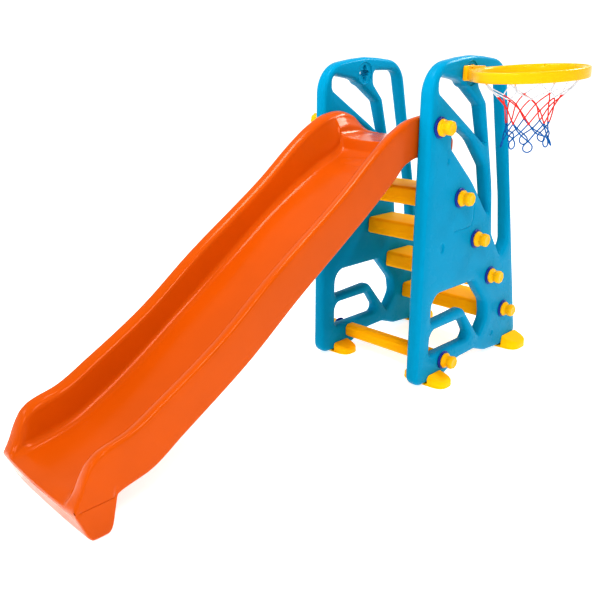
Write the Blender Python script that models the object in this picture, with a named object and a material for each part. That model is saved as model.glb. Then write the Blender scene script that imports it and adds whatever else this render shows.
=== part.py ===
"""Toddler slide: a moulded chute and a ladder of steps bolted between two side panels.

Each side panel has leaf-shaped windows and stands on saddle feet. Hand screws with a washer
under their flange pass through the panels into the chute, the steps and the cross bar. A
basketball hoop with a net is keyed into the star-shaped hole at the top of the right panel.

Design axes: X across the slide from its middle plane, right panel at +X; Y from the chute's
exit towards the ladder, 0 near the front feet; Z up from the floor.
"""

import math

import bmesh
import bpy
from mathutils import Vector

# Driving dimensions, in metres.
GAP = 0.0003
PANEL_INNER_X = 0.205
PANEL_OUTER_X = 0.260
PANEL_EDGE_RADIUS = 0.012
SPAN_HALF = PANEL_INNER_X - GAP
PANEL_BORE_RADIUS = 0.0118
SOCKET_RADIUS = 0.0112
SOCKET_DEPTH = 0.037
ARC_TURN = math.radians(26)

# Fixing points in the side view, as (y, z).
CHUTE_FIXING = (-0.035, 0.934)
TOP_STEP_FIXING = (0.116, 0.684)
STEP_PITCH = (0.127, -0.168)
STEP_COUNT = 4
BAR_FIXING = (0.077, 0.0765)

# Hand screws and washers.
WASHER_RADIUS = 0.0355
WASHER_THICKNESS = 0.007
SCREW_RADIUS = 0.010
SCREW_REACH = 0.030
FLANGE_RADIUS = 0.029
FLANGE_THICKNESS = 0.012
WAIST_RADIUS = 0.0205
GRIP_RADIUS = 0.0245
KNOB_HEIGHT = 0.043

# Steps and cross bar, measured from their fixing points.
STEP_FRONT = -0.065
STEP_BACK = 0.105
STEP_TOP = 0.025
STEP_BOTTOM = -0.045
BAR_HALF = 0.0265

# Feet: y of the front and back, height at the panel's faces and at the outer edge, then the
# height of the sole under the panel at the front and at the back.
FOOT_REACH = 0.324
FOOT_BEVEL = 0.010
FOOT_ROUNDNESS = 3.0
FRONT_FOOT = (-0.022, 0.070, 0.040, 0.024, 0.0065, 0.0065)
REAR_FOOT = (0.512, 0.632, 0.053, 0.030, 0.0075, 0.0170)

# Chute.
CHUTE_EXIT_Y = -1.390
DECK_BACK_Y = 0.132
EXIT_BOW = 0.007
DECK_BOW = 0.018
BOW_RUN = 0.120
RIM_INNER_X = 0.160

# Hoop and net.
HOOP_CENTRE = (0.470, 0.135, 1.103)
HOOP_OUTER_RADIUS = 0.180
HOOP_BAND_WIDTH = 0.024
HOOP_BAND_HEIGHT = 0.033
HOOP_ROLL = math.radians(5.0)
BRACKET_LENGTH = 0.118
BRACKET_HEIGHT = 0.049
BRACKET_DEPTH = 0.018
NECK_LENGTH = 0.114
RECESS_RADIUS = 0.042
RECESS_DEPTH = 0.004
STAR_MEAN_RADIUS = 0.022
STAR_LOBE = 0.007
NET_WALL = 0.003
NET_PROFILE = ((0.150, 1.084), (0.092, 1.020), (0.064, 0.945), (0.076, 0.870))

# The world origin is under the middle of the whole object's footprint.
HOOP_TIP_X = HOOP_CENTRE[0] + HOOP_OUTER_RADIUS
MIDDLE_X = (HOOP_TIP_X - FOOT_REACH) / 2
MIDDLE_Y = (REAR_FOOT[1] + CHUTE_EXIT_Y - EXIT_BOW) / 2

# Panel outline and windows in the side view: corners as (y, z, radius).
PANEL_OUTLINE = (
    (-0.088, 0.008, 0.040),
    (0.096, 0.008, 0.060),
    (0.185, 0.047, 0.100),
    (0.310, 0.050, 0.080),
    (0.395, 0.020, 0.060),
    (0.520, 0.010, 0.080),
    (0.637, 0.030, 0.040),
    (0.370, 1.148, 0.105),
    (0.150, 1.165, 0.600),
    (-0.088, 1.128, 0.115),
)
UPPER_LEAF = (
    (-0.042, 1.045, 0.022),
    (0.170, 0.918, 0.300),
    (0.266, 0.858, 0.004),
    (0.219, 0.994, 0.025),
    (0.085, 1.080, 0.150),
    (-0.042, 1.096, 0.022),
)
MIDDLE_LEAF = (
    (0.050, 0.862, 0.028),
    (0.200, 0.735, 0.250),
    (0.329, 0.592, 0.004),
    (0.282, 0.775, 0.030),
    (0.180, 0.880, 0.200),
    (0.050, 0.945, 0.028),
)
BACK_SLOT = (
    (0.191, 1.112, 0.028),
    (0.194, 1.064, 0.025),
    (0.252, 1.007, 0.030),
    (0.343, 0.700, 0.400),
    (0.370, 0.515, 0.040),
    (0.452, 0.408, 0.018),
    (0.492, 0.462, 0.040),
    (0.462, 0.640, 0.400),
    (0.342, 1.114, 0.045),
)
ARCH_WINDOW = (
    (-0.009, 0.240, 0.010),
    (0.205, 0.250, 0.035),
    (0.334, 0.102, 0.010),
    (0.380, 0.170, 0.045),
    (0.366, 0.235, 0.060),
    (0.262, 0.345, 0.020),
    (-0.009, 0.345, 0.060),
)
LOW_WINDOW = (
    (-0.009, 0.110, 0.020),
    (0.276, 0.110, 0.020),
    (0.204, 0.208, 0.012),
    (-0.009, 0.208, 0.032),
)

# Chute curves along Y, as (y, z).
RIM_LINE = (
    (CHUTE_EXIT_Y, 0.108),
    (-1.372, 0.140),
    (-1.352, 0.182),
    (-1.330, 0.214),
    (-1.300, 0.233),
    (-1.220, 0.254),
    (-1.120, 0.305),
    (-0.926, 0.416),
    (-0.729, 0.558),
    (-0.424, 0.759),
    (-0.269, 0.876),
    (-0.185, 0.929),
    (-0.105, 0.962),
    (-0.035, 0.971),
    (0.025, 0.958),
    (0.070, 0.925),
    (0.100, 0.902),
    (DECK_BACK_Y, 0.890),
)
BED_LINE = (
    (CHUTE_EXIT_Y, 0.104),
    (-1.300, 0.118),
    (-1.200, 0.143),
    (-1.100, 0.190),
    (-0.980, 0.262),
    (-0.800, 0.386),
    (-0.600, 0.524),
    (-0.400, 0.660),
    (-0.220, 0.770),
    (-0.090, 0.838),
    (-0.078, 0.876),
    (DECK_BACK_Y, 0.884),
)
# Width of the trough's curved wall along Y, as (y, width).
WALL_RUN_LINE = (
    (CHUTE_EXIT_Y, 0.018),
    (-0.450, 0.018),
    (-0.120, 0.042),
    (DECK_BACK_Y, 0.040),
)
SKIRT_LINE = (
    (CHUTE_EXIT_Y, 0.092),
    (-1.374, 0.050),
    (-1.360, 0.014),
    (-1.347, 0.001),
    (-1.330, 0.000),
    (-1.308, 0.000),
    (-1.296, 0.010),
    (-1.284, 0.055),
    (-1.272, 0.098),
    (-1.250, 0.106),
    (-1.175, 0.123),
    (-1.064, 0.185),
    (-0.831, 0.322),
    (-0.633, 0.463),
    (-0.339, 0.660),
    (-0.197, 0.762),
    (-0.130, 0.815),
    (-0.060, 0.833),
    (DECK_BACK_Y, 0.836),
)
STATION_RUNS = (
    (CHUTE_EXIT_Y, -1.250, 12),
    (-1.250, -0.980, 6),
    (-0.980, -0.340, 7),
    (-0.340, -0.110, 6),
    (-0.110, -0.090, 1),
    (-0.090, -0.078, 2),
    (-0.078, DECK_BACK_Y, 7),
)

ORANGE = ((0.83, 0.107, 0.004), 0.30)
BLUE = ((0.0, 0.33, 0.62), 0.34)
YELLOW = ((1.0, 0.60, 0.003), 0.34)
NAVY = ((0.006, 0.028, 0.23), 0.40)
CORD = ((0.75, 0.12, 0.10), 0.80)


def material(name, finish):
    """Plastic of one colour and roughness."""
    colour, roughness = finish
    made = bpy.data.materials.new(name)
    made.use_nodes = True
    shader = made.node_tree.nodes["Principled BSDF"]
    shader.inputs["Base Color"].default_value = (*colour, 1.0)
    shader.inputs["Roughness"].default_value = roughness
    shader.inputs["Metallic"].default_value = 0.0
    return made


def add_object(name, mesh_data, finish, parent, location=(0, 0, 0)):
    """Places a mesh under its parent with a material of its own."""
    made = bpy.data.objects.new(name, mesh_data)
    bpy.context.scene.collection.objects.link(made)
    made.parent = parent
    made.location = location
    mesh_data.materials.append(material(name, finish))
    mesh_data.shade_smooth()
    mesh_data.set_sharp_from_angle(angle=math.radians(35))
    return made


def finish_mesh(name, work):
    """Turns a bmesh into a mesh with its faces pointing out."""
    bmesh.ops.remove_doubles(work, verts=work.verts, dist=0.000001)
    bmesh.ops.recalc_face_normals(work, faces=work.faces)
    data = bpy.data.meshes.new(name)
    work.to_mesh(data)
    work.free()
    return data


def cutter(name, mesh_data, parent, location=(0, 0, 0)):
    """A hidden solid that a Boolean cuts with."""
    made = bpy.data.objects.new(name, mesh_data)
    bpy.context.scene.collection.objects.link(made)
    made.parent = parent
    made.location = location
    made.hide_render = True
    made.display_type = "WIRE"
    return made


def cut(target, tool):
    """Subtracts the tool from the target."""
    change = target.modifiers.new("cut_" + tool.name, "BOOLEAN")
    change.operation = "DIFFERENCE"
    change.solver = "EXACT"
    change.object = tool


def unite(target, tool):
    """Joins the tool to the target as one body."""
    cut(target, tool)
    target.modifiers[-1].operation = "UNION"


def smooth_curve(points):
    """A function z(y) through the points, smooth and without overshoot."""
    ys = [p[0] for p in points]
    zs = [p[1] for p in points]
    slopes = [(zs[i + 1] - zs[i]) / (ys[i + 1] - ys[i]) for i in range(len(points) - 1)]
    tangents = [slopes[0]]
    for before, after in zip(slopes, slopes[1:]):
        flat = before * after <= 0
        tangents.append(0.0 if flat else 2 * before * after / (before + after))
    tangents.append(slopes[-1])

    def value(y):
        y = min(max(y, ys[0]), ys[-1])
        i = max(k for k in range(len(slopes)) if ys[k] <= y)
        width = ys[i + 1] - ys[i]
        t = (y - ys[i]) / width
        rise = zs[i + 1] - zs[i]
        bend_in = tangents[i] * width - rise
        bend_out = rise - tangents[i + 1] * width
        return zs[i] + t * rise + t * (1 - t) * ((1 - t) * bend_in + t * bend_out)

    return value


def rounded(corners, turn=ARC_TURN):
    """Closed outline from corners (u, v, radius), each one turned into an arc."""
    outline = []
    for i, (u, v, radius) in enumerate(corners):
        here = Vector((u, v))
        back = Vector(corners[i - 1][:2]) - here
        ahead = Vector(corners[(i + 1) % len(corners)][:2]) - here
        half = back.angle(ahead) / 2
        reach = min(radius / math.tan(half), 0.49 * back.length, 0.49 * ahead.length)
        start = here + back.normalized() * reach
        end = here + ahead.normalized() * reach
        middle = (start + end) / 2
        centre = here + (middle - here) * (reach / math.cos(half) / (middle - here).length)
        bend = math.pi - 2 * half
        steps = max(1, math.ceil(bend / turn))
        sense = 1 if back.cross(ahead) < 0 else -1
        spoke = start - centre
        for k in range(steps + 1):
            angle = sense * bend * k / steps
            c, s = math.cos(angle), math.sin(angle)
            outline.append(centre + Vector((c * spoke.x - s * spoke.y, s * spoke.x + c * spoke.y)))
    return outline


def circle(centre, radius, count):
    """Closed outline of a circle."""
    turns = [2 * math.pi * (k + 0.5) / count for k in range(count)]
    return [Vector((centre[0] + radius * math.cos(a), centre[1] + radius * math.sin(a))) for a in turns]


def area(outline):
    """Signed area of a closed outline."""
    return sum(p.cross(q) for p, q in zip(outline, outline[1:] + outline[:1])) / 2


def offset(outline, distance):
    """The outline moved outwards by a distance, or inwards when it is negative."""
    side = 1 if area(outline) > 0 else -1
    moved = []
    for before, here, after in zip(outline[-1:] + outline[:-1], outline, outline[1:] + outline[:1]):
        first = (here - before).normalized()
        second = (after - here).normalized()
        normal = Vector((first.y + second.y, -first.x - second.x)).normalized() * side
        stretch = max(0.5, math.cos(first.angle(second) / 2))
        moved.append(here + normal * distance / stretch)
    return moved


def ring_of_verts(work, outline, x):
    """One closed loop of vertices at a place along X."""
    return [work.verts.new((x, p.x, p.y)) for p in outline]


def join_loops(work, first, second):
    """Quads between two loops of the same count."""
    count = len(first)
    for k in range(count):
        work.faces.new((first[k], first[(k + 1) % count], second[(k + 1) % count], second[k]))


def loop_edges(work, loop):
    """The edges around a loop."""
    return [work.edges.get((loop[k - 1], loop[k])) for k in range(len(loop))]


def plate(outline, windows, bores, x_low, x_high, edge, edge_steps=2):
    """Plate across X with a rounded outline, rounded windows and straight bores."""
    work = bmesh.new()
    angles = [math.pi / 2 * k / edge_steps for k in range(edge_steps + 1)]
    levels = [(x_low + edge * (1 - math.cos(a)), edge * (1 - math.sin(a))) for a in angles]
    levels += [(x_high - edge * (1 - math.cos(a)), edge * (1 - math.sin(a))) for a in reversed(angles)]
    faces = [[], []]
    for shape, inwards in [(outline, -1)] + [(w, 1) for w in windows]:
        loops = [ring_of_verts(work, offset(shape, inwards * inset), x) for x, inset in levels]
        for first, second in zip(loops, loops[1:]):
            join_loops(work, first, second)
        faces[0] += loop_edges(work, loops[0])
        faces[1] += loop_edges(work, loops[-1])
    for bore in bores:
        loops = [ring_of_verts(work, bore, x) for x in (x_low, x_high)]
        join_loops(work, *loops)
        faces[0] += loop_edges(work, loops[0])
        faces[1] += loop_edges(work, loops[1])
    for rim in faces:
        bmesh.ops.triangle_fill(work, use_beauty=True, use_dissolve=False, edges=rim)
    return work


def revolve(name, profile, count):
    """Solid of revolution about X from (x, radius) points that start and end on the axis."""
    work = bmesh.new()
    loops = []
    for x, radius in profile[1:-1]:
        loops.append(ring_of_verts(work, circle((0, 0), radius, count), x))
    for first, second in zip(loops, loops[1:]):
        join_loops(work, first, second)
    for loop, (x, _) in ((loops[0], profile[0]), (loops[-1], profile[-1])):
        tip = work.verts.new((x, 0, 0))
        for k in range(count):
            work.faces.new((loop[k - 1], loop[k], tip))
    return finish_mesh(name, work)


def mirrored(name, data):
    """A copy of a mesh reflected to the other side of the slide."""
    work = bmesh.new()
    work.from_mesh(data)
    for vert in work.verts:
        vert.co.x = -vert.co.x
    return finish_mesh(name, work)


def prism(name, outline, x_low, x_high):
    """Straight solid along X with flat ends."""
    work = bmesh.new()
    loops = [ring_of_verts(work, outline, x) for x in (x_low, x_high)]
    join_loops(work, *loops)
    for loop in loops:
        bmesh.ops.triangle_fill(work, use_beauty=True, use_dissolve=False, edges=loop_edges(work, loop))
    return finish_mesh(name, work)


def lobed(mean_radius, lobe, count=32):
    """Outline with four lobes about its own centre, or a circle where lobe is 0."""
    outline = []
    for k in range(count):
        angle = 2 * math.pi * k / count
        radius = mean_radius + lobe * math.cos(4 * angle)
        outline.append(Vector((radius * math.cos(angle), radius * math.sin(angle))))
    return outline


def recess_cutter(name):
    """Round recess in each face of a panel, joined by the star-shaped hole."""
    half = (PANEL_OUTER_X - PANEL_INNER_X) / 2
    disc = lobed(RECESS_RADIUS, 0.0)
    star = lobed(STAR_MEAN_RADIUS, STAR_LOBE)
    beyond = half + 0.01
    floor = half - RECESS_DEPTH
    work = bmesh.new()
    levels = ((disc, -beyond), (disc, -floor), (star, -floor), (star, floor), (disc, floor), (disc, beyond))
    loops = [ring_of_verts(work, outline, x) for outline, x in levels]
    for first, second in zip(loops, loops[1:]):
        join_loops(work, first, second)
    for loop in (loops[0], loops[-1]):
        work.faces.new(loop)
    return finish_mesh(name, work)


def fixings():
    """Names and places of the hand screws on one side."""
    places = [("chute", CHUTE_FIXING)]
    places += [(f"step_{k + 1}", step_fixing(k)) for k in range(STEP_COUNT)]
    return places + [("bar", BAR_FIXING)]


def step_fixing(index):
    """Place of a step's hand screws, counted from the top step."""
    return tuple(TOP_STEP_FIXING[k] + index * STEP_PITCH[k] for k in range(2))


def make_panels(root):
    """Left and right side panels with their windows, bores and hoop recess."""
    windows = [rounded(w) for w in (UPPER_LEAF, MIDDLE_LEAF, BACK_SLOT, ARCH_WINDOW, LOW_WINDOW)]
    bores = [circle(place, PANEL_BORE_RADIUS, 12) for _, place in fixings()]
    outline = rounded(PANEL_OUTLINE)
    work = plate(outline, windows, bores, PANEL_INNER_X, PANEL_OUTER_X, PANEL_EDGE_RADIUS)
    right = finish_mesh("panel_right", work)
    left = mirrored("panel_left", right)
    for name, data, side in (("panel_right", right, 1), ("panel_left", left, -1)):
        panel = add_object(name, data, BLUE, root)
        middle = (side * (PANEL_INNER_X + PANEL_OUTER_X) / 2, HOOP_CENTRE[1], HOOP_CENTRE[2])
        cut(panel, cutter(name + "_recess", recess_cutter(name + "_recess"), root, middle))


def cut_sockets(target, place, root):
    """Blind sockets for a pair of hand screws in both ends of a piece."""
    for side in (-1, 1):
        low = SPAN_HALF - SOCKET_DEPTH
        data = prism("socket", circle((0, 0), SOCKET_RADIUS, 12), low, SPAN_HALF + 0.01)
        if side < 0:
            data = mirrored("socket", data)
        name = f"{target.name}_socket_{'right' if side > 0 else 'left'}"
        cut(target, cutter(name, data, root, (0, *place)))


def make_steps(root):
    """The ladder's steps: full boxes with large rounded corners."""
    corners = (
        (STEP_FRONT, STEP_BOTTOM + 0.004, 0.014),
        (STEP_BACK, STEP_BOTTOM, 0.014),
        (STEP_BACK, STEP_TOP, 0.014),
        (STEP_FRONT + 0.004, STEP_TOP, 0.014),
    )
    for k in range(STEP_COUNT):
        place = step_fixing(k)
        outline = [p + Vector(place) for p in rounded(corners)]
        work = plate(outline, [], [], -SPAN_HALF, SPAN_HALF, 0.003, 1)
        name = f"step_{k + 1}"
        step = add_object(name, finish_mesh(name, work), YELLOW, root)
        cut_sockets(step, place, root)


def make_cross_bar(root):
    """Chamfered square bar that ties the panels together near the floor."""
    h = BAR_HALF
    corners = ((-h, -h, 0.010), (h, -h, 0.010), (h, h, 0.010), (-h, h, 0.010))
    outline = [p + Vector(BAR_FIXING) for p in rounded(corners, math.radians(60))]
    work = plate(outline, [], [], -SPAN_HALF, SPAN_HALF, 0.003, 1)
    bar = add_object("cross_bar", finish_mesh("cross_bar", work), YELLOW, root)
    cut_sockets(bar, BAR_FIXING, root)


def foot_outline(foot, share, drop):
    """Section of a foot at a share of its reach: a block with bevelled upper corners."""
    front, back, high, low = foot[:4]
    half = (back - front) / 2 * (1 - share**FOOT_ROUNDNESS) ** (1 / FOOT_ROUNDNESS)
    near, far = (front + back) / 2 - half, (front + back) / 2 + half
    top = high + share * (low - high) - drop
    bevel = min(FOOT_BEVEL, half / 2)
    shoulder = top - bevel
    return [(near, 0), (far, 0), (far, shoulder), (far - bevel, top), (near + bevel, top), (near, shoulder)]


def foot_mesh(name, foot):
    """Saddle foot: a round-nosed block on each side of the panel, joined by a sole under it."""
    front, back, _, _, sole_front, sole_back = foot
    slot_low = PANEL_INNER_X - GAP
    slot_high = PANEL_OUTER_X + GAP
    run = FOOT_REACH - slot_high
    side = []
    for share, drop in ((0.0, 0.0), (0.35, 0.0), (0.62, 0.0), (0.82, 0.001), (0.93, 0.004), (0.99, 0.010)):
        side.append((run * share / 0.99, foot_outline(foot, share, drop)))
    sole = [(front, 0), (back, 0), (back, sole_back / 2), (back - FOOT_BEVEL, sole_back)]
    sole += [(front + FOOT_BEVEL, sole_front), (front, sole_front / 2)]
    sections = [(slot_low - depth, outline) for depth, outline in reversed(side)]
    sections += [(slot_low, sole), (slot_high, sole)]
    sections += [(slot_high + depth, outline) for depth, outline in side]
    work = bmesh.new()
    loops = [ring_of_verts(work, [Vector(p) for p in outline], x) for x, outline in sections]
    for first, second in zip(loops, loops[1:]):
        join_loops(work, first, second)
    for loop in (loops[0], loops[-1]):
        work.faces.new(loop)
    return finish_mesh(name, work)


def make_feet(root):
    """Four saddle feet under the panels' corners."""
    for end, foot in (("front", FRONT_FOOT), ("rear", REAR_FOOT)):
        right = foot_mesh(f"foot_{end}_right", foot)
        left = mirrored(f"foot_{end}_left", right)
        add_object(f"foot_{end}_right", right, YELLOW, root)
        add_object(f"foot_{end}_left", left, YELLOW, root)


def chute_section(y, rim, bed, skirt, wall_run):
    """Closed section across the chute: underside, outer walls, rims and bed."""
    height = max(rim - bed, 0.0)
    arris = min(0.012, 0.45 * (rim - skirt))
    underside = min(0.012, 0.30 * (rim - skirt))
    half = [(0.0, skirt), (SPAN_HALF * 0.5, skirt), (SPAN_HALF - underside, skirt)]
    half += [(SPAN_HALF - 0.3 * underside, skirt + 0.3 * underside), (SPAN_HALF, skirt + underside)]
    for angle in (0, 30, 60, 90):
        turn = math.radians(angle)
        x = SPAN_HALF - arris * (1 - math.cos(turn))
        drop = arris * (1 - math.sin(turn))
        half.append((x, rim - drop))
    half.append((SPAN_HALF - 0.028, rim - 0.012 * min(1.0, height / 0.05)))
    for share in (1.0, 0.86, 0.72, 0.58, 0.44, 0.30, 0.14, 0.0):
        x = RIM_INNER_X - wall_run * (1 - share)
        swell = share * share * (3 - 2 * share)
        half.append((x, bed + (height - 0.022 * min(1.0, height / 0.05)) * swell))
    half.append((0.045, bed))
    half.append((0.0, bed))
    left = [(-x, z) for x, z in reversed(half[1:-1])]
    bow = DECK_BOW * max(0.0, 1 - (DECK_BACK_Y - y) / BOW_RUN) ** 2
    bow -= EXIT_BOW * max(0.0, 1 - (y - CHUTE_EXIT_Y) / BOW_RUN) ** 2
    return [Vector((x, y + bow * (1 - (x / SPAN_HALF) ** 2), z)) for x, z in half + left]


def chute_stations():
    """Places along Y where the chute's section is taken, closer where it bends."""
    places = [STATION_RUNS[0][0]]
    for start, end, count in STATION_RUNS:
        places += [start + (end - start) * (k + 1) / count for k in range(count)]
    return places


def make_chute(root):
    """Chute in one piece: deck, trough, exit lip and exit leg."""
    rim, bed, skirt = smooth_curve(RIM_LINE), smooth_curve(BED_LINE), smooth_curve(SKIRT_LINE)
    wall_run = smooth_curve(WALL_RUN_LINE)
    work = bmesh.new()
    loops = []
    for y in chute_stations():
        section = chute_section(y, rim(y), bed(y), skirt(y), wall_run(y))
        loops.append([work.verts.new(p) for p in section])
    for first, second in zip(loops, loops[1:]):
        join_loops(work, first, second)
    for loop in (loops[0], loops[-1]):
        bmesh.ops.triangle_fill(work, use_beauty=True, use_dissolve=False, edges=loop_edges(work, loop))
    chute = add_object("chute", finish_mesh("chute", work), ORANGE, root)
    cut_sockets(chute, CHUTE_FIXING, root)


def make_screws(root):
    """Washers and hand screws, each with its origin on its own axis."""
    seat = PANEL_OUTER_X + GAP
    washer_outline = circle((0, 0), WASHER_RADIUS, 16)
    washer_bore = circle((0, 0), PANEL_BORE_RADIUS, 8)
    face = WASHER_THICKNESS + GAP
    tip = SPAN_HALF - SCREW_REACH - seat
    knob_profile = (
        (tip, 0.0),
        (tip, SCREW_RADIUS * 0.8),
        (tip + 0.003, SCREW_RADIUS),
        (face, SCREW_RADIUS),
        (face, FLANGE_RADIUS - 0.001),
        (face + FLANGE_THICKNESS * 0.55, FLANGE_RADIUS),
        (face + FLANGE_THICKNESS, FLANGE_RADIUS - 0.005),
        (face + FLANGE_THICKNESS + 0.004, WAIST_RADIUS),
        (face + KNOB_HEIGHT * 0.60, GRIP_RADIUS),
        (face + KNOB_HEIGHT * 0.85, GRIP_RADIUS),
        (face + KNOB_HEIGHT, GRIP_RADIUS - 0.007),
        (face + KNOB_HEIGHT, 0.0),
    )
    for label, place in fixings():
        washer = plate(washer_outline, [], [washer_bore], 0, WASHER_THICKNESS, 0.002, 1)
        washer = finish_mesh("washer", washer)
        knob = revolve("knob", knob_profile, 12)
        for side, end in ((1, "right"), (-1, "left")):
            centre = (side * seat, *place)
            ring = washer.copy() if side > 0 else mirrored("washer", washer)
            handle = knob.copy() if side > 0 else mirrored("knob", knob)
            add_object(f"washer_{label}_{end}", ring, NAVY, root, centre)
            add_object(f"knob_{label}_{end}", handle, YELLOW, root, centre)


def roll(point):
    """A point of the hoop turned by its roll about the X line through its centre."""
    y, z = point[1] - HOOP_CENTRE[1], point[2] - HOOP_CENTRE[2]
    c, s = math.cos(HOOP_ROLL), math.sin(HOOP_ROLL)
    return Vector((point[0], HOOP_CENTRE[1] + c * y - s * z, HOOP_CENTRE[2] + s * y + c * z))


def turned_ring(name, section, count):
    """Closed ring about the hoop's axis from a closed section of (radius, z) points."""
    work = bmesh.new()
    loops = []
    for k in range(count):
        angle = 2 * math.pi * k / count
        loop = []
        for radius, z in section:
            x = HOOP_CENTRE[0] + radius * math.cos(angle)
            y = HOOP_CENTRE[1] + radius * math.sin(angle)
            loop.append(work.verts.new(roll((x, y, z))))
        loops.append(loop)
    for k in range(count):
        join_loops(work, loops[k - 1], loops[k])
    return finish_mesh(name, work)


def box_plate(name, length, height, x_low, x_high):
    """Block across X with rounded long edges, centred on the hoop's socket."""
    w, h = length / 2, height / 2
    corners = ((-w, -h, 0.008), (w, -h, 0.008), (w, h, 0.008), (-w, h, 0.008))
    return finish_mesh(name, plate(rounded(corners, math.radians(60)), [], [], x_low, x_high, 0.002, 1))


def neck_mesh(name):
    """Gusset between the bracket and the ring, with straight sides that run into the ring's circle."""
    face = PANEL_OUTER_X + 2 * GAP + BRACKET_DEPTH - HOOP_CENTRE[0]
    half = NECK_LENGTH / 2
    spread = math.atan2(half, -face) + math.acos(HOOP_OUTER_RADIUS / math.hypot(face, half))
    edge = HOOP_OUTER_RADIUS - 0.001
    middle = HOOP_OUTER_RADIUS - HOOP_BAND_WIDTH / 2
    arc = [(edge, spread)] + [(middle, spread * (1 - k / 5)) for k in range(11)] + [(edge, -spread)]
    outline = [(face, half), (face, -half)]
    outline += [(-radius * math.cos(turn), -radius * math.sin(turn)) for radius, turn in arc]
    height = HOOP_BAND_HEIGHT / 2 - 0.0005
    work = bmesh.new()
    loops = []
    for z in (-height, height):
        loop = [roll((HOOP_CENTRE[0] + x, HOOP_CENTRE[1] + y, HOOP_CENTRE[2] + z)) for x, y in outline]
        loops.append([work.verts.new(p) for p in loop])
    join_loops(work, *loops)
    for loop in loops:
        bmesh.ops.triangle_fill(work, use_beauty=True, use_dissolve=False, edges=loop_edges(work, loop))
    return finish_mesh(name, work)


def make_hoop(root):
    """Bracket with its star key, ring and net of the basketball hoop."""
    outer, inner = HOOP_OUTER_RADIUS, HOOP_OUTER_RADIUS - HOOP_BAND_WIDTH
    low = HOOP_CENTRE[2] - HOOP_BAND_HEIGHT / 2
    high = HOOP_CENTRE[2] + HOOP_BAND_HEIGHT / 2
    band = ((outer - 0.003, low), (outer, low + 0.005), (outer, high - 0.010), (outer - 0.006, high))
    band += ((inner + 0.003, high), (inner, high - 0.004), (inner, low + 0.003), (inner + 0.003, low))
    ring = add_object("hoop_ring", turned_ring("hoop_ring", band, 48), YELLOW, root)
    centre = (0, HOOP_CENTRE[1], HOOP_CENTRE[2])
    seat = PANEL_OUTER_X + GAP
    unite(ring, cutter("hoop_neck_shape", neck_mesh("neck"), root))

    block = box_plate("hoop_bracket", BRACKET_LENGTH, BRACKET_HEIGHT, seat, seat + BRACKET_DEPTH)
    bracket = add_object("hoop_bracket", block, YELLOW, root, centre)
    star = lobed(STAR_MEAN_RADIUS - 0.0006, STAR_LOBE)
    key = prism("key", star, PANEL_INNER_X + RECESS_DEPTH, seat + 0.004)
    unite(bracket, cutter("hoop_key_shape", key, root, centre))

    section = [(radius + NET_WALL / 2, z) for radius, z in NET_PROFILE]
    section += [(radius - NET_WALL / 2, z) for radius, z in reversed(NET_PROFILE)]
    add_object("net", turned_ring("net", section, 24), CORD, root)


def build():
    """Removes what the scene holds and builds the whole slide."""
    for old in list(bpy.data.objects):
        bpy.data.objects.remove(old, do_unlink=True)
    root = bpy.data.objects.new("slide_origin", None)
    bpy.context.scene.collection.objects.link(root)
    root.location = (-MIDDLE_X, -MIDDLE_Y, 0)
    make_chute(root)
    make_panels(root)
    make_steps(root)
    make_cross_bar(root)
    make_feet(root)
    make_screws(root)
    make_hoop(root)


build()
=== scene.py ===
"""Looks of the toddler slide: fine moulded shells, hand screws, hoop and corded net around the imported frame.

Lengths are metres. Shapes are written in the design axes, X from the slide's middle plane and Y from
the front feet, and are moved into the frame's axes by SHIFT when a piece is made.
"""

import math
import random
from math import cos, pi, radians, sin, sqrt

import bmesh
import bpy
import numpy as np
from mathutils import Matrix, Vector
from mathutils.geometry import delaunay_2d_cdt


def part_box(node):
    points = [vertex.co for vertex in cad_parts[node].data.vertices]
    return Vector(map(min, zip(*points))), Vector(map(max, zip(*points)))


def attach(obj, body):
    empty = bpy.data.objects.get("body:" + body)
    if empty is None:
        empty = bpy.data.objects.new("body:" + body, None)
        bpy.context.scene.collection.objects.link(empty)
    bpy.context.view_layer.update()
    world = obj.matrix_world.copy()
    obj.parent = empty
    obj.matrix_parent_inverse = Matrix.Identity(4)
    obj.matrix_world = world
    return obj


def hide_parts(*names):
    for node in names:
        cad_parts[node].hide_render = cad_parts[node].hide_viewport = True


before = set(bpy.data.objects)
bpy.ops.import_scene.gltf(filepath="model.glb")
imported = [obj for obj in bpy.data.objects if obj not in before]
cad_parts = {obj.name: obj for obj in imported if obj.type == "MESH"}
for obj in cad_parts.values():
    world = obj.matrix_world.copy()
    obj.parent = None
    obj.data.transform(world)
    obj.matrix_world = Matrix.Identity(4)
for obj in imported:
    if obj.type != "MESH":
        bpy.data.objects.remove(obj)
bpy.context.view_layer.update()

# The panels, as the frame gives them, fix the design axes.
PANEL_FRONT_Y = -0.088
LEFT_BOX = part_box("panel_left")
RIGHT_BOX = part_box("panel_right")
SHIFT = Vector(((LEFT_BOX[0].x + RIGHT_BOX[1].x) / 2, RIGHT_BOX[0].y - PANEL_FRONT_Y, 0))
PANEL_INNER_X = RIGHT_BOX[0].x - SHIFT.x
PANEL_OUTER_X = RIGHT_BOX[1].x - SHIFT.x
PANEL_HALF = (PANEL_OUTER_X - PANEL_INNER_X) / 2
PANEL_MIDDLE_X = (PANEL_OUTER_X + PANEL_INNER_X) / 2
GAP = 0.0003
SPAN_HALF = PANEL_INNER_X - GAP

# Fixing points in the side view, as (y, z).
CHUTE_FIXING = (-0.035, 0.934)
TOP_STEP_FIXING = (0.116, 0.684)
STEP_PITCH = (0.127, -0.168)
STEP_COUNT = 4
BAR_FIXING = (0.077, 0.0765)

# Chute, as in the CAD source.
CHUTE_EXIT_Y = -1.390
DECK_BACK_Y = 0.132
EXIT_BOW = 0.007
DECK_BOW = 0.018
BOW_RUN = 0.120
RIM_INNER_X = 0.160
FOOT_RADIUS = 0.030
SEAM_Z = 0.099

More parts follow.
